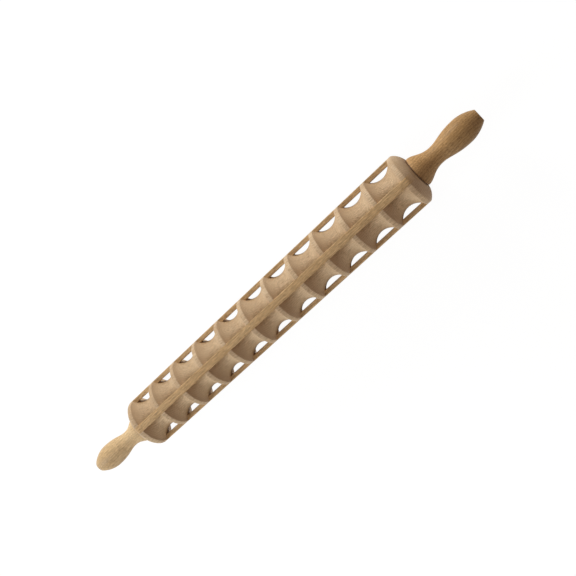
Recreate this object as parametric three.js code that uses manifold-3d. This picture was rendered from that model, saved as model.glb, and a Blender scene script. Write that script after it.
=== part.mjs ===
// Ravioli rolling pin: a turned beech spool with four slats let into its rims, running on a steel axle
// that is fast in two turned handles. Millimetres, +X along the axle, +Z up, origin at the roller's centre.
import * as THREE from 'three';
import { mergeVertices } from 'three/addons/utils/BufferGeometryUtils.js';
import Module from 'manifold-3d';

// Roller: rims, the scooped grooves between them and the rounded shoulders at the ends
const ROLLER_RADIUS = 30;
const GROOVE_COUNT = 11;
const GROOVE_WIDTH = 31.4;
const GROOVE_DEPTH = 10.6;
const RIM_WIDTH = 5;
const SHOULDER_LENGTH = 7.7;
const SHOULDER_CROWN = 1.3;
const END_FACE_RADIUS = 19;

// Slats
const SLAT_WIDTH = 8.2;
const SLAT_THICKNESS = 5.2;

// Handles: radii and distances from the base
const HANDLE_LENGTH = 79.1;
const BASE_RADIUS = 17;
const NECK_RADIUS = 9.9;
const NECK_AT = 24.3;
const BULGE_RADIUS = 14.2;
const BULGE_AT = 56.7;
const TIP_RADIUS = 6.9;

// Axle and bushes
const AXLE_RADIUS = 4;
const AXLE_IN_HANDLE = 45;
const AXLE_CHAMFER = 0.8;
const BUSH_LENGTH = 20;
const BUSH_WALL = 3;
const FLANGE_RADIUS = 15;
const FLANGE_THICKNESS = 0.8;

// Clearances: glued and pressed seats, running fits, the plain bore between the bushes, the ends of blind bores
const SEAT_GAP = 0.2;
const RUNNING_GAP = 0.3;
const CORE_BORE_GAP = 1;
const BLIND_END_GAP = 1;

// Facets
const ROLLER_SIDES = 36;
const HANDLE_SIDES = 24;
const AXLE_SIDES = 20;
const GROOVE_STEPS = 6;
const SHOULDER_STEPS = 4;
const SWEEP_STEPS = 6;

// How far each handle sweep leaves its ends level, as shares of its length
const FLARE_EASE = [0.33, 0.51];
const GRIP_EASE = [0.3, 0.54];
const CROWN_EASE = [0.42, 0.23];
const CROWN_RISE = 0.49;

// Places that follow from the sizes
const GROOVE_PITCH = GROOVE_WIDTH + RIM_WIDTH;
const RIM_END = (GROOVE_COUNT * GROOVE_PITCH + RIM_WIDTH) / 2;
const ROLLER_END = RIM_END + SHOULDER_LENGTH;
const HANDLE_BASE = ROLLER_END + SEAT_GAP + FLANGE_THICKNESS + RUNNING_GAP;
const BUSH_BORE_RADIUS = AXLE_RADIUS + RUNNING_GAP;
const BUSH_RADIUS = BUSH_BORE_RADIUS + BUSH_WALL;

// Slats by their turn about the axle, and the two ends
const SLATS = [
  { name: 'slat_top', turn: 0 },
  { name: 'slat_front', turn: Math.PI / 2 },
  { name: 'slat_bottom', turn: Math.PI },
  { name: 'slat_back', turn: -Math.PI / 2 },
];
const ENDS = [
  { side: 'right', turn: 0 },
  { side: 'left', turn: Math.PI },
];

const wasm = await Module();
wasm.setup();

// A closed geometry as a solid for cutting
function toSolid(geometry) {
  const bare = geometry.clone();
  bare.deleteAttribute('normal');
  bare.deleteAttribute('uv');
  const merged = mergeVertices(bare);
  return new wasm.Manifold(
    new wasm.Mesh({
      numProp: 3,
      vertProperties: merged.attributes.position.array,
      triVerts: new Uint32Array(merged.index.array),
    }),
  );
}

// A solid as a flat-shaded geometry
function toGeometry(solid) {
  const { vertProperties, triVerts } = solid.getMesh();
  const geometry = new THREE.BufferGeometry();
  geometry.setAttribute('position', new THREE.BufferAttribute(vertProperties, 3));
  geometry.setIndex(new THREE.BufferAttribute(triVerts, 1));
  const flat = geometry.toNonIndexed();
  flat.computeVertexNormals();
  return flat;
}

// Turns a profile of [distance along X, radius] points round the X axis
function turned(profile, sides) {
  const points = profile.map(([along, radius]) => new THREE.Vector2(radius, along));
  return new THREE.LatheGeometry(points, sides).rotateZ(-Math.PI / 2);
}

// An arc of known rise between two points, bulging to the left of the way from one to the other
function arcBetween(from, to, rise, steps) {
  const start = new THREE.Vector2(...from);
  const chord = new THREE.Vector2(...to).sub(start);
  const half = chord.length() / 2;
  const radius = (half * half + rise * rise) / (2 * Math.abs(rise));
  const along = chord.clone().normalize();
  const out = new THREE.Vector2(-along.y, along.x).multiplyScalar(Math.sign(rise));
  const centre = start.clone().addScaledVector(along, half).addScaledVector(out, Math.abs(rise) - radius);
  const sweep = Math.asin(half / radius);
  return Array.from({ length: steps + 1 }, (_, step) => {
    const angle = sweep * ((2 * step) / steps - 1);
    const point = centre.clone().addScaledVector(along, radius * Math.sin(angle));
    return point.addScaledVector(out, radius * Math.cos(angle)).toArray();
  });
}

// The right shoulder from the last rim to the end face, and its mirror image in walking order from left to right
function shoulder() {
  return arcBetween([RIM_END, ROLLER_RADIUS], [ROLLER_END, END_FACE_RADIUS], SHOULDER_CROWN, SHOULDER_STEPS);
}

function leftShoulder() {
  return shoulder().map(([along, radius]) => [-along, radius]).reverse();
}

// Rims and scooped grooves, from the left end of the first rim to the right end of the last
function grooves() {
  const points = [];
  for (let groove = 0; groove < GROOVE_COUNT; groove += 1) {
    const start = -RIM_END + RIM_WIDTH + groove * GROOVE_PITCH;
    const end = start + GROOVE_WIDTH;
    points.push(...arcBetween([start, ROLLER_RADIUS], [end, ROLLER_RADIUS], -GROOVE_DEPTH, GROOVE_STEPS));
  }
  return points;
}

// The room that a slat takes in the core: a straight slot open at both ends
function slatSlot() {
  const floor = ROLLER_RADIUS - SLAT_THICKNESS - SEAT_GAP;
  const height = SLAT_THICKNESS * 2;
  const slot = new THREE.BoxGeometry(2 * ROLLER_END + SLAT_WIDTH, SLAT_WIDTH + 2 * SEAT_GAP, height);
  return slot.translate(0, 0, floor + height / 2);
}

function rollerCore() {
  const bore = AXLE_RADIUS + CORE_BORE_GAP;
  const seat = BUSH_RADIUS + SEAT_GAP;
  const seatEnd = ROLLER_END - BUSH_LENGTH - SEAT_GAP;
  const profile = [
    ...leftShoulder(),
    ...grooves(),
    ...shoulder(),
    [ROLLER_END, seat],
    [seatEnd, seat],
    [seatEnd, bore],
    [-seatEnd, bore],
    [-seatEnd, seat],
    [-ROLLER_END, seat],
  ];
  profile.push(profile[0]);
  let core = toSolid(turned(profile, ROLLER_SIDES));
  for (const { turn } of SLATS) {
    core = core.subtract(toSolid(slatSlot().rotateX(turn)));
  }
  return toGeometry(core);
}

// A flat slat whose ends are trimmed flush with the shoulders
function slat() {
  const under = ROLLER_RADIUS - SLAT_THICKNESS;
  const end = shoulder();
  const below = end.findIndex(([, radius]) => radius < under);
  const [[x0, r0], [x1, r1]] = [end[below - 1], end[below]];
  const foot = x0 + ((x1 - x0) * (r0 - under)) / (r0 - r1);
  const side = [...end.slice(0, below), [foot, under]];
  const outline = [...side, ...side.map(([x, r]) => [-x, r]).reverse()];
  const shape = new THREE.Shape(outline.map(([x, r]) => new THREE.Vector2(x, r)));
  const bar = new THREE.ExtrudeGeometry(shape, { depth: SLAT_WIDTH, bevelEnabled: false });
  return bar.translate(0, 0, -SLAT_WIDTH / 2).rotateX(Math.PI / 2);
}

// One smooth sweep between two points, level at its start and eased into its end
function sweep(from, to, [easeOut, easeIn], endRise) {
  const span = to[0] - from[0];
  const curve = new THREE.CubicBezierCurve(
    new THREE.Vector2(...from),
    new THREE.Vector2(from[0] + easeOut * span, from[1]),
    new THREE.Vector2(to[0] - easeIn * span, to[1] + endRise),
    new THREE.Vector2(...to),
  );
  return curve.getPoints(SWEEP_STEPS).map((point) => point.toArray());
}

// Flared base, neck, bulge and flat tip, with a blind bore for the axle
function handle() {
  const base = [0, BASE_RADIUS];
  const neck = [NECK_AT, NECK_RADIUS];
  const bulge = [BULGE_AT, BULGE_RADIUS];
  const tip = [HANDLE_LENGTH, TIP_RADIUS];
  const bore = AXLE_RADIUS + SEAT_GAP;
  const boreEnd = AXLE_IN_HANDLE + BLIND_END_GAP;
  return turned(
    [
      [boreEnd, 0],
      [boreEnd, bore],
      [0, bore],
      ...sweep(base, neck, FLARE_EASE, 0),
      ...sweep(neck, bulge, GRIP_EASE, 0).slice(1),
      ...sweep(bulge, tip, CROWN_EASE, CROWN_RISE * (BULGE_RADIUS - TIP_RADIUS)).slice(1),
      [HANDLE_LENGTH, 0],
    ],
    HANDLE_SIDES,
  );
}

function axleRod() {
  const end = HANDLE_BASE + AXLE_IN_HANDLE;
  return turned(
    [
      [-end, 0],
      [-end, AXLE_RADIUS - AXLE_CHAMFER],
      [-end + AXLE_CHAMFER, AXLE_RADIUS],
      [end - AXLE_CHAMFER, AXLE_RADIUS],
      [end, AXLE_RADIUS - AXLE_CHAMFER],
      [end, 0],
    ],
    AXLE_SIDES,
  );
}

// A flanged bush, measured from the roller's end face
function bush() {
  const profile = [
    [-BUSH_LENGTH, BUSH_BORE_RADIUS],
    [-BUSH_LENGTH, BUSH_RADIUS],
    [SEAT_GAP, BUSH_RADIUS],
    [SEAT_GAP, FLANGE_RADIUS],
    [SEAT_GAP + FLANGE_THICKNESS, FLANGE_RADIUS],
    [SEAT_GAP + FLANGE_THICKNESS, BUSH_BORE_RADIUS],
  ];
  profile.push(profile[0]);
  return turned(profile, AXLE_SIDES);
}

function wood(color) {
  return new THREE.MeshStandardMaterial({ color, roughness: 0.65, metalness: 0 });
}

function piece(name, geometry, material) {
  const mesh = new THREE.Mesh(geometry, material);
  mesh.name = name;
  return mesh;
}

const roller = new THREE.Group();
roller.add(piece('roller_core', rollerCore(), wood(0xb8977a)));
for (const { name, turn } of SLATS) {
  const strip = piece(name, slat(), wood(0xab9068));
  strip.rotation.x = turn;
  roller.add(strip);
}

const holder = new THREE.Group();
const steel = new THREE.MeshStandardMaterial({ color: 0xb9bcc0, roughness: 0.3, metalness: 1 });
holder.add(piece('axle_rod', axleRod(), steel));

for (const { side, turn } of ENDS) {
  const nylon = new THREE.MeshStandardMaterial({ color: 0xb6926f, roughness: 0.5, metalness: 0 });
  const end = new THREE.Group();
  end.rotation.z = turn;
  const ring = piece(`bush_${side}`, bush(), nylon);
  ring.position.x = ROLLER_END;
  const grip = piece(`handle_${side}`, handle(), wood(0xa8845a));
  grip.position.x = HANDLE_BASE;
  end.add(ring, grip);
  holder.add(end);
}

const pin = new THREE.Group();
pin.name = 'ravioli_rolling_pin';
pin.add(roller, holder);

export default pin;
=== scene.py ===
import math

import bmesh
import bpy
import numpy as np
from mathutils import Matrix, Vector


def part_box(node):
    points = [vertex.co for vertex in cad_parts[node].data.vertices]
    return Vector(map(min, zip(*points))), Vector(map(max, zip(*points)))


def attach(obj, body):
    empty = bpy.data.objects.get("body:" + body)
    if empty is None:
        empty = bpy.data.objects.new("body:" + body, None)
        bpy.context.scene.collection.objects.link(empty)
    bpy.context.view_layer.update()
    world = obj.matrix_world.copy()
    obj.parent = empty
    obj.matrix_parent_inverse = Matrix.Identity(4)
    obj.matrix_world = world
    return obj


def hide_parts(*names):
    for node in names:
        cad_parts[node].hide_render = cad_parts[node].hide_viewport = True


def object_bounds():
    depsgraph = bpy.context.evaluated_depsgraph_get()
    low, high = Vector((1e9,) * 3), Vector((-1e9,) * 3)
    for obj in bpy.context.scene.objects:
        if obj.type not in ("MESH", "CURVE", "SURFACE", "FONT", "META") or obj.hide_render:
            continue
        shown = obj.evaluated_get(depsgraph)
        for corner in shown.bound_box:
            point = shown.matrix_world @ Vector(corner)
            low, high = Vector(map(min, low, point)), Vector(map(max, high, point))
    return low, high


# Looks of a ravioli rolling pin: a turned beech spool with four slats let into its rims, a steel axle in two
# bushes, and two turned handles. Metres, +X along the axle, +Z up, origin at the roller's centre.
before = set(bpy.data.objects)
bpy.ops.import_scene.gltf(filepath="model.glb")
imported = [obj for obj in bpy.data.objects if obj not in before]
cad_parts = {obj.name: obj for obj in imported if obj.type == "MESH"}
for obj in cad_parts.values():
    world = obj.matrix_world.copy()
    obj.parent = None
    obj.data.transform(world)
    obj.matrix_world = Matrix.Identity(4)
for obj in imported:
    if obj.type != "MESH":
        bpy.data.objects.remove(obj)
CAD_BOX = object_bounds()
MM = 0.001

# Sizes that the frame gives
CORE_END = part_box("roller_core")[1].x
SLAT_LOW, SLAT_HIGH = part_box("slat_top")
HANDLE_LOW, HANDLE_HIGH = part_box("handle_right")
AXLE_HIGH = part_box("axle_rod")[1]
BUSH_LOW, BUSH_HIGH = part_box("bush_right")
ROLLER_RADIUS = SLAT_HIGH.z
SLAT_UNDER = SLAT_LOW.z
SLAT_HALF = SLAT_HIGH.y
HANDLE_LENGTH = HANDLE_HIGH.x - HANDLE_LOW.x
BASE_RADIUS = HANDLE_HIGH.z
AXLE_RADIUS = AXLE_HIGH.z
FLANGE_RADIUS = BUSH_HIGH.z

# Roller: rims, scooped grooves and rounded shoulders
GROOVE_COUNT = 11
GROOVE_DEPTH = 10.6 * MM
RIM_WIDTH = 5 * MM
SHOULDER_LENGTH = 7.7 * MM
SHOULDER_CROWN = 1.3 * MM
END_FACE_RADIUS = 19 * MM
RIM_END = CORE_END - SHOULDER_LENGTH
GROOVE_PITCH = (2 * RIM_END - RIM_WIDTH) / GROOVE_COUNT

# Handles: distances from the base and radii, and how far each sweep leaves its ends level
NECK = (24.3 * MM, 9.9 * MM)
BULGE = (56.7 * MM, 14.2 * MM)
TIP_RADIUS = 6.9 * MM
FLARE_EASE = (0.33, 0.51)
GRIP_EASE = (0.30, 0.54)
CROWN_EASE = (0.42, 0.23)
CROWN_RISE = 0.49

# Axle, bushes and bores
AXLE_CHAMFER = 0.8 * MM
BUSH_BORE = AXLE_RADIUS + 0.3 * MM
BUSH_RADIUS = BUSH_BORE + 3 * MM
FLANGE_THICKNESS = 0.8 * MM
CORE_BORE = AXLE_RADIUS + 1 * MM
BUSH_SEAT = BUSH_RADIUS + 0.2 * MM
BORE_DEPTH = AXLE_HIGH.x - HANDLE_LOW.x + 1 * MM
BORE_RADIUS = AXLE_RADIUS + 0.2 * MM

# Eased edges and the hair lines round the slats
RIM_EASE = 0.8 * MM
HANDLE_EASE = 0.7 * MM
SMALL_EASE = 0.25 * MM
SLAT_EASE = 0.25 * MM
SLOT_GAP = 0.04 * MM

# The most that an eased corner takes of a line beside it and of a slat's height, and the share of a slat's
# ease that is left at the middle of its corner
MOST_OF_LINE = 0.45
MOST_OF_HEIGHT = 0.4
CORNER_SHARE = 0.3

# The share of a slat's half width, at its edge, that use rubs
RUBBED_EDGE = 0.25

# Painted shade, standing for the slats' shadow on the wood beside and under them: how far beside a slat and
# how far under it
PAINTED_SHADE_REACH = 5 * MM
PAINTED_SHADE_DEPTH = 2 * MM

# Fineness of the meshes
GROOVE_STEPS = 26
SHOULDER_STEPS = 12
SWEEP_STEPS = 24
EASE_STEPS = 4
FLOOR_STEPS = 6
SECTOR_STEPS = 36
HANDLE_COLUMNS = 96
SMALL_COLUMNS = 48
SLAT_STEP = 3 * MM
SHARP_ANGLE = math.radians(40)
SAME_PLACE = MM / 1000

# Slats by their turn about the axle, as the frame has them, and the two ends
SLAT_TURNS = {"top": 0.0, "front": 90.0, "bottom": 180.0, "back": -90.0}
END_TURNS = {"right": 0.0, "left": 180.0}


# Outlines of [distance along X, radius] points


def arc_between(start, end, rise, steps):
    """Points of an arc that bulges by rise to the left of the way from start to end."""
    start = np.array(start)
    chord = np.array(end) - start
    half = np.linalg.norm(chord) / 2
    along = chord / (2 * half)
    out = np.array([-along[1], along[0]]) * math.copysign(1, rise)
    radius = (half**2 + rise**2) / (2 * abs(rise))
    centre = start + along * half + out * (abs(rise) - radius)
    sweep = math.asin(half / radius)
    angles = np.linspace(-sweep, sweep, steps + 1)[:, None]
    return list(centre + radius * (along * np.sin(angles) + out * np.cos(angles)))


def sweep_between(start, end, ease, end_rise=0.0):
    """Points of a smooth sweep that leaves start level and is eased into end."""
    span = end[0] - start[0]
    knots = [
        start,
        (start[0] + ease[0] * span, start[1]),
        (end[0] - ease[1] * span, end[1] + end_rise),
        end,
    ]
    t = np.linspace(0, 1, SWEEP_STEPS + 1)[:, None]
    shares = [(1 - t) ** 3, 3 * t * (1 - t) ** 2, 3 * t**2 * (1 - t), t**3]
    return list(sum(share * np.array(knot) for share, knot in zip(shares, knots)))


def eased(path, reach, least_turn=0.2):
    """The path with a small curve in place of each corner that turns by more than least_turn radians."""
    points = [np.array(point) for point in path]
    made = [points[0]]
    for before, corner, after in zip(points, points[1:], points[2:]):
        to_corner, from_corner = corner - before, after - corner
        lengths = np.linalg.norm(to_corner), np.linalg.norm(from_corner)
        cosine = np.dot(to_corner, from_corner) / (lengths[0] * lengths[1])
        if math.acos(np.clip(cosine, -1, 1)) < least_turn:
            made.append(corner)
            continue
        cut = min(reach, MOST_OF_LINE * lengths[0], MOST_OF_LINE * lengths[1])
        start = corner - to_corner / lengths[0] * cut
        end = corner + from_corner / lengths[1] * cut
        for t in np.linspace(0, 1, EASE_STEPS + 1):
            made.append((1 - t) ** 2 * start + 2 * t * (1 - t) * corner + t**2 * end)
    return made + [points[-1]]


def with_crossings(path, radius):
    """The path with a point added wherever it passes the radius."""
    made = [path[0]]
    for before, after in zip(path, path[1:]):
        if (before[1] - radius) * (after[1] - radius) < 0:
            share = (radius - before[1]) / (after[1] - before[1])
            made.append(before + share * (after - before))
        made.append(after)
    return made


def mirrored(path):
    """The path at the other end, in the order that goes on towards the right."""
    return [np.array([-x, radius]) for x, radius in reversed(path)]


def shoulder():
    """The right shoulder, from the last rim to the end face."""
    return arc_between((RIM_END, ROLLER_RADIUS), (CORE_END, END_FACE_RADIUS), SHOULDER_CROWN, SHOULDER_STEPS)


def roller_outline():
    """Shoulder, rims and grooves, and the other shoulder."""
    path = mirrored(shoulder())
    for groove in range(GROOVE_COUNT):
        start = -RIM_END + RIM_WIDTH + groove * GROOVE_PITCH
        end = start + GROOVE_PITCH - RIM_WIDTH
        path += arc_between((start, ROLLER_RADIUS), (end, ROLLER_RADIUS), -GROOVE_DEPTH, GROOVE_STEPS)
    return path + shoulder()


# Meshes


def make_piece(name, vertices, faces, wear_and_shade=None):
    """A smooth closed mesh object with its edges sharp where faces meet at a steep angle."""
    mesh = bpy.data.meshes.new(name)
    mesh.from_pydata([tuple(vertex) for vertex in vertices], [], faces)
    values = np.zeros(len(vertices)) if wear_and_shade is None else wear_and_shade
    # The attribute holds rubbed wood above 0 and painted shade, for the slats' shadow, below 0
    mesh.attributes.new("wear_and_shade", "FLOAT", "POINT").data.foreach_set("value", np.array(values, np.float32))
    shape = bmesh.new()
    shape.from_mesh(mesh)
    bmesh.ops.remove_doubles(shape, verts=shape.verts, dist=SAME_PLACE)
    bmesh.ops.recalc_face_normals(shape, faces=shape.faces)
    shape.to_mesh(mesh)
    shape.free()
    mesh.shade_smooth()
    mesh.set_sharp_from_angle(angle=SHARP_ANGLE)
    piece = bpy.data.objects.new(name, mesh)
    bpy.context.scene.collection.objects.link(piece)
    return piece


def grid_faces(rings, columns, closed):
    """Faces between round rings of points. If closed, the last ring is joined to the first."""
    faces = []
    for ring in range(rings if closed else rings - 1):
        here, there = ring * columns, (ring + 1) % rings * columns
        for column in range(columns):
            beside = (column + 1) % columns
            faces.append((here + column, here + beside, there + beside, there + column))
    return faces


def turned_piece(name, path, columns, closed, wear_and_shade=None):
    """A path turned round the X axis. An open path starts and ends on the axis."""
    angles = np.linspace(0, 2 * math.pi, columns, endpoint=False)
    vertices = [(x, r * math.sin(a), r * math.cos(a)) for x, r in path for a in angles]
    shares = None if wear_and_shade is None else np.repeat(wear_and_shade, columns)
    return make_piece(name, vertices, grid_faces(len(path), columns, closed), shares)


def core_ring(x, radius):
    """One ring round the core, with a step down to the floor of each slot where the ring stands above it."""
    inner_share = min(1, radius / END_FACE_RADIUS)
    half = (SLAT_HALF + SLOT_GAP) * inner_share
    floor = SLAT_UNDER - SLOT_GAP
    across = np.linspace(-half, half, FLOOR_STEPS + 1)
    section = [(t, min(math.sqrt(radius**2 - t**2), floor)) for t in across]
    edge = math.asin(half / radius)
    for angle in np.linspace(edge, math.pi / 2 - edge, SECTOR_STEPS + 1):
        section.append((radius * math.sin(angle), radius * math.cos(angle)))
    ring = []
    for turn in (0, 1, 2, 3):
        c, s = math.cos(turn * math.pi / 2), math.sin(turn * math.pi / 2)
        ring += [(x, t * c + up * s, up * c - t * s) for t, up in section]
    return ring


def core_wear_and_shade(y, z):
    """From 1 on the rims, which use rubs, down to -1 for painted shade in the grooves beside and under the
    slats, where they cast shadow.
    """
    radius = math.hypot(y, z)
    rubbed = max(0, 1 - (ROLLER_RADIUS - radius) / RIM_WIDTH)
    depth = np.clip((SLAT_UNDER - radius) / PAINTED_SHADE_DEPTH, 0, 1)
    beside = min(abs(y), abs(z)) - SLAT_HALF
    return rubbed - depth * np.clip(1 - beside / PAINTED_SHADE_REACH, 0, 1)


def roller_core():
    """The spool, with its slots, the bore and the seats of the bushes."""
    path = eased(roller_outline(), RIM_EASE)
    slot_edge = math.hypot(SLAT_UNDER - SLOT_GAP, SLAT_HALF + SLOT_GAP)
    for radius in (SLAT_UNDER - SLOT_GAP, slot_edge):
        path = with_crossings(path, radius)
    seat_end = BUSH_LOW.x - SLOT_GAP
    right = [(CORE_END, BUSH_SEAT), (seat_end, BUSH_SEAT), (seat_end, CORE_BORE)]
    path += right + mirrored(right)
    rings = [core_ring(x, radius) for x, radius in path]
    columns = len(rings[0])
    vertices = [point for ring in rings for point in ring]
    wear_and_shade = [core_wear_and_shade(y, z) for _, y, z in vertices]
    faces = grid_faces(len(rings), columns, closed=True)
    return make_piece("roller_core_turned", vertices, faces, wear_and_shade)


def slat_section(radius):
    """A slat's section at one place: its outside is turned with the rims, its edges are eased."""
    top_edge = math.sqrt(radius**2 - SLAT_HALF**2)
    ease = min(SLAT_EASE, MOST_OF_HEIGHT * max(top_edge - SLAT_UNDER, 0))
    across = np.linspace(-SLAT_HALF + ease, SLAT_HALF - ease, FLOOR_STEPS + 1)
    top = [(t, max(math.sqrt(radius**2 - t**2), SLAT_UNDER)) for t in across]
    down = max(top_edge - ease, SLAT_UNDER)
    right = [
        (SLAT_HALF - ease * CORNER_SHARE, max(top_edge - ease * CORNER_SHARE, SLAT_UNDER)),
        (SLAT_HALF, down),
        (SLAT_HALF, min(SLAT_UNDER + ease, down)),
    ]
    under = [(t, SLAT_UNDER) for t in reversed(across)]
    return top + right + under + [(-t, up) for t, up in reversed(right)]


def slat(side, turn):
    """One slat, made in the place of the top one and then turned about the axle."""
    ends = [point for point in shoulder() if point[1] > math.hypot(SLAT_UNDER, SLAT_HALF)]
    foot = with_crossings(shoulder(), SLAT_UNDER)
    foot = next(point for point in foot if abs(point[1] - SLAT_UNDER) < SAME_PLACE)
    count = math.ceil(2 * RIM_END / SLAT_STEP)
    middle = [(x, ROLLER_RADIUS) for x in np.linspace(-RIM_END, RIM_END, count + 1)[1:-1]]
    path = mirrored(ends + [foot]) + middle + ends + [foot]
    sections = [slat_section(radius) for _, radius in path]
    columns = len(sections[0])
    vertices = [(x, t, up) for (x, _), section in zip(path, sections) for t, up in section]
    faces = grid_faces(len(path), columns, closed=False)
    from_middle = np.abs(np.linspace(-1, 1, FLOOR_STEPS + 1))
    top_wear = np.clip(1 + (from_middle - 1) / RUBBED_EDGE, 0, 1)
    under_wear = np.zeros_like(top_wear)
    wear_and_shade = np.tile([*top_wear, 1, 0, 0, *under_wear, 0, 0, 1], len(path))
    piece = make_piece(f"slat_{side}_strip", vertices, faces, wear_and_shade)
    piece.matrix_world = Matrix.Rotation(math.radians(turn), 4, "X")
    return piece


def handle(side, turn):
    """Flared base, neck, bulge and flat tip, with a blind bore for the axle."""
    base, tip = (0.0, BASE_RADIUS), (HANDLE_LENGTH, TIP_RADIUS)
    sweeps = sweep_between(base, NECK, FLARE_EASE)
    sweeps += sweep_between(NECK, BULGE, GRIP_EASE)[1:]
    sweeps += sweep_between(BULGE, tip, CROWN_EASE, CROWN_RISE * (BULGE[1] - TIP_RADIUS))[1:]
    path = [(BORE_DEPTH, 0), (BORE_DEPTH, BORE_RADIUS), (0, BORE_RADIUS), *sweeps, (HANDLE_LENGTH, 0)]
    path = eased(path, HANDLE_EASE, least_turn=0.5)
    wear_and_shade = [np.clip((x - NECK[0]) / (BULGE[0] - NECK[0]), 0, 1) for x, _ in path]
    piece = turned_piece(f"handle_{side}_turned", path, HANDLE_COLUMNS, closed=False, wear_and_shade=wear_and_shade)
    turn_about = Matrix.Rotation(math.radians(turn), 4, "Z")
    piece.matrix_world = turn_about @ Matrix.Translation((HANDLE_LOW.x, 0, 0))
    return piece


def bush(side, turn):
    """A flanged bush, its thin flange against the roller's end."""
    face = BUSH_HIGH.x - FLANGE_THICKNESS
    path = [
        (BUSH_LOW.x, BUSH_BORE),
        (BUSH_LOW.x, BUSH_RADIUS),
        (face, BUSH_RADIUS),
        (face, FLANGE_RADIUS),
        (BUSH_HIGH.x, FLANGE_RADIUS),
        (BUSH_HIGH.x, BUSH_BORE),
        (BUSH_LOW.x, BUSH_BORE),
    ]
    path = eased(path, SMALL_EASE)[:-1]
    piece = turned_piece(f"bush_{side}_moulded", path, SMALL_COLUMNS, closed=True)
    piece.matrix_world = Matrix.Rotation(math.radians(turn), 4, "Z")
    return piece


def axle():
    """A plain rod with chamfered ends."""
    end, shank = AXLE_HIGH.x, AXLE_HIGH.x - AXLE_CHAMFER
    half = [(shank, AXLE_RADIUS), (end, AXLE_RADIUS - AXLE_CHAMFER), (end, 0)]
    path = eased(mirrored(half) + half, SMALL_EASE)
    return turned_piece("axle_rod_turned", path, SMALL_COLUMNS, closed=False)


# Materials

# Sizes of the wood's figure, along the fibres and across them
DRIFT_GRAIN = (90 * MM, 14 * MM)
FIBRE_GRAIN = (22 * MM, 0.5 * MM)
PORE_GRAIN = (3 * MM, 0.12 * MM)
BLOTCH_GRAIN = (70 * MM, 22 * MM)
MOTTLE_GRAIN = (6 * MM, 0.9 * MM)
FLECK_STRETCH = 4
LATHE_SPACING = 0.55 * MM

# Growth rings: how far they wander, how rough they are, and the way of the wave texture in one repeat
RING_DRIFT = 2.5 * MM
RING_WOBBLE = 1.2
WAVE_REPEAT = math.pi / 10

# Values of a texture between which a shade goes from one end to the other
NOISE_MIDDLE = (0.3, 0.7)
RING_EDGE = (0.25, 1.0)
BLOTCH_EDGE = (0.35, 0.7)
FLECK_CHOICE = (0.3, 0.7)
FLECK_EDGE = (0.5, 0.1)
HEART_REACH = (15 * MM, 45 * MM)

# How much each kind of figure darkens and lightens the wood
FIBRE_SHADE = (0.2, 0.13)
MOTTLE_SHADE = (0.1, 0.08)
LATHE_SHADE = (0.06, 0.03)
BLOTCH_SHARE = 0.45

# How much each kind of figure stands out, and how far they all do
FIBRE_RELIEF = 0.35
PORE_RELIEF = 0.25
LATHE_RELIEF = 0.5
FLECK_RELIEF = 0.15
WOOD_RELIEF = {"Strength": 0.5, "Distance": 0.12 * MM}

# Faces turned towards X: where end grain begins and is full, and how much mottling and flecks fade there
END_GRAIN_TURN = (0.45, 0.95)
CALM_TURN = (0.3, 0.9)
CALM_SHARE = 0.7

# Roughness of the wood, what rubbing and polish take off it, and the reflection of bare and polished wood
WOOD_ROUGHNESS = (0.52, 0.68)
RUBBED_SMOOTH = 0.1
POLISH_SMOOTH = 0.06
BARE_REFLECTION = 0.12
POLISH_REFLECTION = 0.08


def linear(tone):
    """A colour written as sRGB values from 0 to 255, as a shader takes it."""
    return (*(((c / 255 + 0.055) / 1.055) ** 2.4 for c in tone), 1)


def node(tree, kind, inputs=None, **settings):
    """Adds a shader node. An input is a value or another node's output to link."""
    made = tree.nodes.new("ShaderNode" + kind)
    for name, value in settings.items():
        setattr(made, name, value)
    for key, value in (inputs or {}).items():
        if isinstance(value, bpy.types.NodeSocket):
            tree.links.new(value, made.inputs[key])
        else:
            made.inputs[key].default_value = value
    return made


def stretched(tree, vector, along, across):
    """Coordinates in which one unit is along metres on X and across metres on Y and Z."""
    scale = (1 / along, 1 / across, 1 / across)
    return node(tree, "Mapping", {"Vector": vector, "Scale": scale}).outputs[0]


def noise(tree, vector, detail=2.0, roughness=0.5):
    """A noise texture of about one unit in the coordinates that it gets."""
    inputs = {"Vector": vector, "Scale": 1.0, "Detail": detail, "Roughness": roughness}
    return node(tree, "TexNoise", inputs)


def ranged(tree, value, low, high, to_low=0.0, to_high=1.0):
    """Goes smoothly from to_low to to_high while the value goes from low to high."""
    inputs = {"Value": value, "From Min": low, "From Max": high, "To Min": to_low, "To Max": to_high}
    return node(tree, "MapRange", inputs, interpolation_type="SMOOTHSTEP").outputs[0]


def mixed(tree, factor, first, second, blend="MIX"):
    """Mixes two colours."""
    made = node(tree, "Mix", {0: factor, 6: first, 7: second}, data_type="RGBA", blend_type=blend)
    return made.outputs[2]


def math_node(tree, operation, first, second):
    return node(tree, "Math", {0: first, 1: second}, operation=operation).outputs[0]


def new_material(name):
    material = bpy.data.materials.new(name)
    material.use_nodes = True
    tree = material.node_tree
    return material, tree, tree.nodes["Principled BSDF"]


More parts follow.
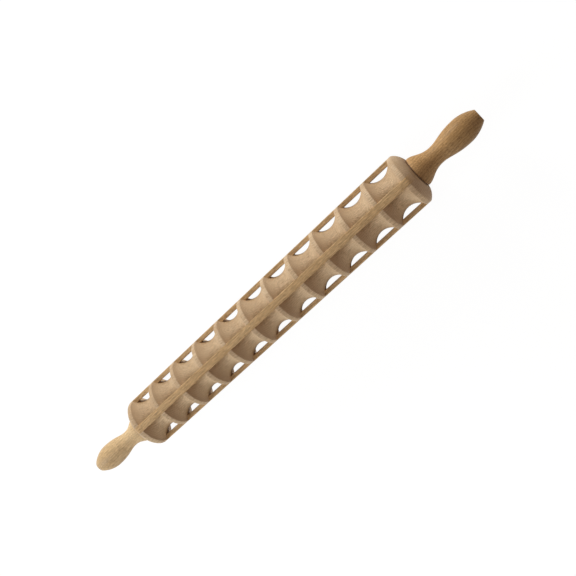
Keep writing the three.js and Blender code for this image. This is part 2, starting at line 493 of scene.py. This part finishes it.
def beech(
    name,
    tones,
    pith,
    tilt=(0.0, 0.0, 0.0),
    ring_spacing=2.6 * MM,
    rings=0.55,
    streaks=1.0,
    mottling=1.0,
    heart=(1.0, 1.0),
    ends=(1.0, 1.0),
    flecks=0.5,
    fleck_size=1.2 * MM,
    lathe_lines=1.0,
    end_grain=0.0,
    grip_darkening=(1.0, 1.0, 1.0),
    polish=0.0,
):
    """Turned beech: growth rings about a pith beside the piece, fibres along X, short dark ray flecks,
    the fine lines that a lathe leaves, end grain, which is calmer, wood that use has rubbed smoother, and
    painted shade where the slats shade the grooves. tones has the pale wood, the dark wood, the flecks and
    the end grain. heart, ends and grip_darkening are shares of the tone: near the pith and far from it, at
    the left end of the roller and at its right end, and where the wear mask rises, which on a handle is from
    its neck to its tip. polish, from 0 to 1, makes the wood smoother and lets it reflect more."""
    material, tree, shader = new_material(name)
    pale, dark, fleck_tone, end_tone = (linear(tone) for tone in tones)
    places = node(tree, "TexCoord")
    here = places.outputs["Object"]
    wood = node(tree, "Mapping", {"Vector": here, "Location": pith, "Rotation": tilt}).outputs[0]

    drift = noise(tree, stretched(tree, wood, *DRIFT_GRAIN), detail=3).outputs["Color"]
    bent = node(tree, "VectorMath", {0: drift, 1: (RING_DRIFT,) * 3, 2: wood}, operation="MULTIPLY_ADD")
    ring_inputs = {
        "Vector": bent.outputs[0],
        "Scale": WAVE_REPEAT / ring_spacing,
        "Distortion": RING_WOBBLE,
        "Detail": 2.0,
    }
    wave = node(tree, "TexWave", ring_inputs, wave_type="RINGS", rings_direction="X", wave_profile="SAW")
    ring_shade = ranged(tree, wave.outputs["Fac"], *RING_EDGE, 0.0, rings)
    fibres = noise(tree, stretched(tree, wood, *FIBRE_GRAIN), detail=5, roughness=0.65).outputs["Fac"]
    pores = noise(tree, stretched(tree, wood, *PORE_GRAIN), detail=2).outputs["Fac"]
    blotches = noise(tree, stretched(tree, wood, *BLOTCH_GRAIN), detail=2).outputs["Fac"]

    cell_place = stretched(tree, wood, FLECK_STRETCH * fleck_size, fleck_size)
    cells = node(tree, "TexVoronoi", {"Vector": cell_place, "Scale": 1.0})
    fleck_there = ranged(tree, cells.outputs["Color"], *FLECK_CHOICE)
    fleck = math_node(tree, "MULTIPLY", ranged(tree, cells.outputs["Distance"], *FLECK_EDGE), fleck_there)

    along = node(tree, "SeparateXYZ", {0: here}).outputs["X"]
    lathe_place = math_node(tree, "MULTIPLY", along, 1 / LATHE_SPACING)
    lathe = node(tree, "TexNoise", {"W": lathe_place, "Scale": 1.0, "Detail": 3.0}, noise_dimensions="1D")
    lathe = lathe.outputs["Fac"]
    wear_and_shade = node(tree, "Attribute", attribute_name="wear_and_shade").outputs["Fac"]
    worn = ranged(tree, wear_and_shade, 0.0, 1.0)
    # Painted shade: where the attribute falls below 0, in the grooves beside and under the slats
    groove_shade = ranged(tree, wear_and_shade, 0.0, -1.0)
    facing = node(tree, "SeparateXYZ", {0: places.outputs["Normal"]}).outputs["X"]
    facing = math_node(tree, "ABSOLUTE", facing, 0.0)
    end_share = ranged(tree, facing, *END_GRAIN_TURN, 0.0, end_grain)
    calm = ranged(tree, facing, *CALM_TURN, 0.0, CALM_SHARE)
    aside = node(tree, "VectorMath", {0: wood, 1: (0, 1, 1)}, operation="MULTIPLY").outputs[0]
    from_pith = node(tree, "VectorMath", {0: aside}, operation="LENGTH").outputs["Value"]
    heart_shade = ranged(tree, from_pith, *HEART_REACH, *heart)
    length_shade = ranged(tree, along, -CORE_END, CORE_END, *ends)
    mottle = noise(tree, stretched(tree, wood, *MOTTLE_GRAIN), detail=3, roughness=0.6).outputs["Fac"]

    colour = mixed(tree, ring_shade, pale, dark)
    colour = mixed(tree, ranged(tree, blotches, *BLOTCH_EDGE, 0.0, BLOTCH_SHARE), colour, dark)
    fibre_range = (1 - FIBRE_SHADE[0] * streaks, 1 + FIBRE_SHADE[1] * streaks)
    fibre_shade = ranged(tree, fibres, *NOISE_MIDDLE, *fibre_range)
    mottle_range = (1 - MOTTLE_SHADE[0] * mottling, 1 + MOTTLE_SHADE[1] * mottling)
    mottle_shade = ranged(tree, mottle, *NOISE_MIDDLE, *mottle_range)
    lathe_range = (1 - LATHE_SHADE[0] * lathe_lines, 1 + LATHE_SHADE[1])
    lathe_shade = ranged(tree, lathe, *NOISE_MIDDLE, *lathe_range)
    mottle_shade = mixed(tree, calm, mottle_shade, (1, 1, 1, 1))
    for shade in (fibre_shade, mottle_shade, lathe_shade, heart_shade, length_shade):
        colour = mixed(tree, 1.0, colour, shade, "MULTIPLY")
    fleck_share = math_node(tree, "MULTIPLY", fleck, ranged(tree, calm, 0.0, 1.0, flecks, 0.0))
    colour = mixed(tree, fleck_share, colour, fleck_tone)
    # Darkens the wood by the given shares where the wear mask rises; on a handle that is from its neck to
    # its tip
    colour = mixed(tree, worn, colour, (*grip_darkening, 1), "MULTIPLY")
    # Painted shade: darkens the grooves beside and under the slats, where they cast shadow
    colour = mixed(tree, groove_shade, colour, (*PAINTED_GROOVE_SHADE, 1), "MULTIPLY")
    colour = mixed(tree, end_share, colour, end_tone)

    height = math_node(tree, "MULTIPLY", fibres, FIBRE_RELIEF)
    height = math_node(tree, "ADD", height, math_node(tree, "MULTIPLY", pores, PORE_RELIEF))
    height = math_node(tree, "ADD", height, math_node(tree, "MULTIPLY", lathe, LATHE_RELIEF * lathe_lines))
    height = math_node(tree, "SUBTRACT", height, math_node(tree, "MULTIPLY", fleck, FLECK_RELIEF))
    bump = node(tree, "Bump", {"Height": height, **WOOD_RELIEF})

    rough_range = (rough - POLISH_SMOOTH * polish for rough in WOOD_ROUGHNESS)
    roughness = ranged(tree, fibres, *NOISE_MIDDLE, *rough_range)
    roughness = math_node(tree, "SUBTRACT", roughness, math_node(tree, "MULTIPLY", worn, RUBBED_SMOOTH))
    tree.links.new(colour, shader.inputs["Base Color"])
    tree.links.new(roughness, shader.inputs["Roughness"])
    tree.links.new(bump.outputs[0], shader.inputs["Normal"])
    shader.inputs["Specular IOR Level"].default_value = BARE_REFLECTION + POLISH_REFLECTION * polish
    return material


def nylon():
    """Moulded nylon, faintly cloudy, with a fine matt grain."""
    material, tree, shader = new_material("nylon")
    here = node(tree, "TexCoord").outputs["Object"]
    cloud = noise(tree, stretched(tree, here, 6 * MM, 6 * MM), detail=3).outputs["Fac"]
    grain = noise(tree, stretched(tree, here, 0.3 * MM, 0.3 * MM), detail=2).outputs["Fac"]
    colour = mixed(tree, cloud, *(linear(tone) for tone in NYLON_TONES))
    bump = node(tree, "Bump", {"Height": grain, "Strength": 0.3, "Distance": 0.05 * MM})
    tree.links.new(colour, shader.inputs["Base Color"])
    tree.links.new(ranged(tree, grain, *NOISE_MIDDLE, *NYLON_ROUGHNESS), shader.inputs["Roughness"])
    tree.links.new(bump.outputs[0], shader.inputs["Normal"])
    return material


def steel():
    """Drawn steel with fine scratches along it."""
    material, tree, shader = new_material("steel")
    here = node(tree, "TexCoord").outputs["Object"]
    drawn = noise(tree, stretched(tree, here, 30 * MM, 0.2 * MM), detail=4).outputs["Fac"]
    colour = mixed(tree, drawn, *(linear(tone) for tone in STEEL_TONES))
    bump = node(tree, "Bump", {"Height": drawn, "Strength": 0.2, "Distance": 0.02 * MM})
    tree.links.new(colour, shader.inputs["Base Color"])
    tree.links.new(ranged(tree, drawn, *NOISE_MIDDLE, *STEEL_ROUGHNESS), shader.inputs["Roughness"])
    tree.links.new(bump.outputs[0], shader.inputs["Normal"])
    shader.inputs["Metallic"].default_value = 1.0
    return material


# Tones of the pale wood, the dark wood, the flecks and the end grain
CORE_TONES = ((207, 179, 145), (180, 148, 114), (142, 105, 72), (180, 148, 114))
SLAT_TONES = ((206, 172, 128), (179, 141, 96), (127, 92, 54), (197, 166, 131))
LEFT_TONES = ((209, 179, 137), (183, 150, 108), (145, 108, 69), (183, 150, 108))
RIGHT_TONES = ((200, 159, 110), (162, 122, 74), (96, 64, 30), (162, 122, 74))

# Shares of its tone that wood keeps from each handle's neck to its tip, and under the painted shade that
# stands for the slats' shadow in the grooves
LEFT_GRIP_DARKENING = (0.88, 0.86, 0.83)
RIGHT_GRIP_DARKENING = (0.8, 0.78, 0.73)
# Painted shade: the share of its tone that a groove keeps beside and under a slat
PAINTED_GROOVE_SHADE = (0.86, 0.83, 0.76)

# Tones and roughness of the bushes and the axle
NYLON_TONES = ((182, 146, 112), (164, 128, 96))
NYLON_ROUGHNESS = (0.4, 0.55)
STEEL_TONES = ((176, 178, 182), (206, 207, 209))
STEEL_ROUGHNESS = (0.24, 0.4)


def dress(piece, body, cad_node, material):
    """Gives a piece its material and body, and hides the part that it stands for."""
    piece.data.materials.append(material)
    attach(piece, body)
    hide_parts(cad_node)


def build_pin():
    """All ten pieces. Each slat and each handle is cut from another place in the tree."""
    core_wood = beech(
        "beech_core",
        CORE_TONES,
        pith=(0.0, -0.013, -0.019),
        tilt=(0.0, 0.05, 0.04),
        ring_spacing=2.0 * MM,
        rings=0.5,
        streaks=0.4,
        mottling=2.0,
        ends=(0.955, 1.035),
    )
    dress(roller_core(), "roller", "roller_core", core_wood)
    for index, (side, turn) in enumerate(SLAT_TURNS.items()):
        pith = (0.9 * index, 0.05 + 0.013 * index, 0.022)
        wood = beech(
            f"beech_slat_{side}",
            SLAT_TONES,
            pith,
            ring_spacing=1.9 * MM,
            mottling=2.4,
            lathe_lines=0.2,
            end_grain=1.0,
        )
        dress(slat(side, turn), "roller", f"slat_{side}", wood)
    dress(axle(), "handles", "axle_rod", steel())
    ring = nylon()
    for side, turn in END_TURNS.items():
        right = side == "right"
        grip_wood = beech(
            f"beech_handle_{side}",
            RIGHT_TONES if right else LEFT_TONES,
            pith=(2.64, 0.03, -0.01) if right else (3.91, -0.03, -0.01),
            tilt=(0.0, 0.09, -0.06),
            mottling=2.0,
            heart=(0.78, 1.22) if right else (0.95, 1.2),
            flecks=0.7 if right else 0.4,
            fleck_size=0.9 * MM,
            end_grain=0.5,
            grip_darkening=RIGHT_GRIP_DARKENING if right else LEFT_GRIP_DARKENING,
            polish=0.5,
        )
        dress(handle(side, turn), "handles", f"handle_{side}", grip_wood)
        dress(bush(side, turn), "roller", f"bush_{side}", ring)


# Floor, light and camera

FLOOR_SIZE = 6.0
FLOOR_TONE = (235, 234, 232)
FLOOR_ROUGHNESS = 0.9
FLOOR_WHITE = 0.9
FLOOR_GLOW = 1.06

# Each lamp's direction from the pin, its power and its colour
LAMPS = {
    "behind": (Vector((0.0, 0.966, 0.259)), 13.4, (0.95, 0.99, 0.97)),
    "left": (Vector((-0.848, 0.0, 0.53)), 8.1, (0.82, 0.92, 1.0)),
    "front_left": (Vector((-0.483, -0.837, 0.259)), 4.5, (0.95, 1.0, 0.93)),
}
LAMP_DISTANCE = 1.3
LAMP_SIZE = 0.5
SKY_LIGHT = (0.278, 0.237, 0.22, 1)
CAMERA_PLACE = Vector((0.294899, -0.012312, 0.798452))
CAMERA_TARGET = Vector((0.031073, 0.003347, 0.0))
CAMERA_ROLL = -0.74867
SENSOR_WIDTH = 36.0
FOCAL_SHARE = 1.38


def seen(tree):
    """1 for what is seen, also mirrored or through something clear, and 0 for what lights the object."""
    rays = node(tree, "LightPath").outputs
    mirrored_or_clear = math_node(tree, "MAXIMUM", rays["Is Glossy Ray"], rays["Is Transmission Ray"])
    return math_node(tree, "MAXIMUM", rays["Is Camera Ray"], mirrored_or_clear)


def floor():
    """A pale floor that shows as white and keeps a faint shadow."""
    half = FLOOR_SIZE / 2
    corners = [(-half, -half), (half, -half), (half, half), (-half, half)]
    mesh = bpy.data.meshes.new("floor")
    mesh.from_pydata([(x, y, CAD_BOX[0].z) for x, y in corners], [], [(0, 1, 2, 3)])
    plane = bpy.data.objects.new("floor", mesh)
    bpy.context.scene.collection.objects.link(plane)
    material, tree, shader = new_material("floor")
    shader.inputs["Base Color"].default_value = linear(FLOOR_TONE)
    shader.inputs["Roughness"].default_value = FLOOR_ROUGHNESS
    glow = node(tree, "Emission", {"Color": (1, 1, 1, 1), "Strength": FLOOR_GLOW})
    share = math_node(tree, "MULTIPLY", seen(tree), FLOOR_WHITE)
    mix = node(tree, "MixShader", {0: share, 1: shader.outputs[0], 2: glow.outputs[0]})
    tree.links.new(mix.outputs[0], tree.nodes["Material Output"].inputs["Surface"])
    mesh.materials.append(material)


def sky():
    """An even room, a plain warm level as light and full white where it is seen."""
    world = bpy.data.worlds.new("room")
    bpy.context.scene.world = world
    world.use_nodes = True
    tree = world.node_tree
    colour = mixed(tree, seen(tree), SKY_LIGHT, (1, 1, 1, 1))
    tree.links.new(colour, tree.nodes["Background"].inputs["Color"])


def lamps():
    """Soft boxes: a low one behind the pin, one above its left end, and a weak low one before that end."""
    for name, (direction, power, colour) in LAMPS.items():
        lamp = bpy.data.lights.new(name, "AREA")
        lamp.energy = power
        lamp.color = colour
        lamp.size = LAMP_SIZE
        holder = bpy.data.objects.new(name, lamp)
        bpy.context.scene.collection.objects.link(holder)
        holder.location = direction.normalized() * LAMP_DISTANCE
        holder.rotation_euler = direction.to_track_quat("Z", "Y").to_euler()


def camera():
    """The photograph's view: from above and a little to the right, turned about the line of sight."""
    data = bpy.data.cameras.new("camera")
    data.sensor_width = SENSOR_WIDTH
    data.lens = SENSOR_WIDTH * FOCAL_SHARE
    holder = bpy.data.objects.new("camera", data)
    bpy.context.scene.collection.objects.link(holder)
    back = (CAMERA_PLACE - CAMERA_TARGET).normalized()
    level = (Vector((1, 0, 0)) - back * back.x).normalized()
    rise = back.cross(level)
    right = level * math.cos(CAMERA_ROLL) + rise * math.sin(CAMERA_ROLL)
    up = back.cross(right)
    axes = Matrix((right, up, back)).transposed().to_4x4()
    holder.matrix_world = Matrix.Translation(CAMERA_PLACE) @ axes
    bpy.context.scene.camera = holder


bpy.context.scene.view_settings.view_transform = "Standard"
build_pin()
floor()
sky()
lamps()
camera()
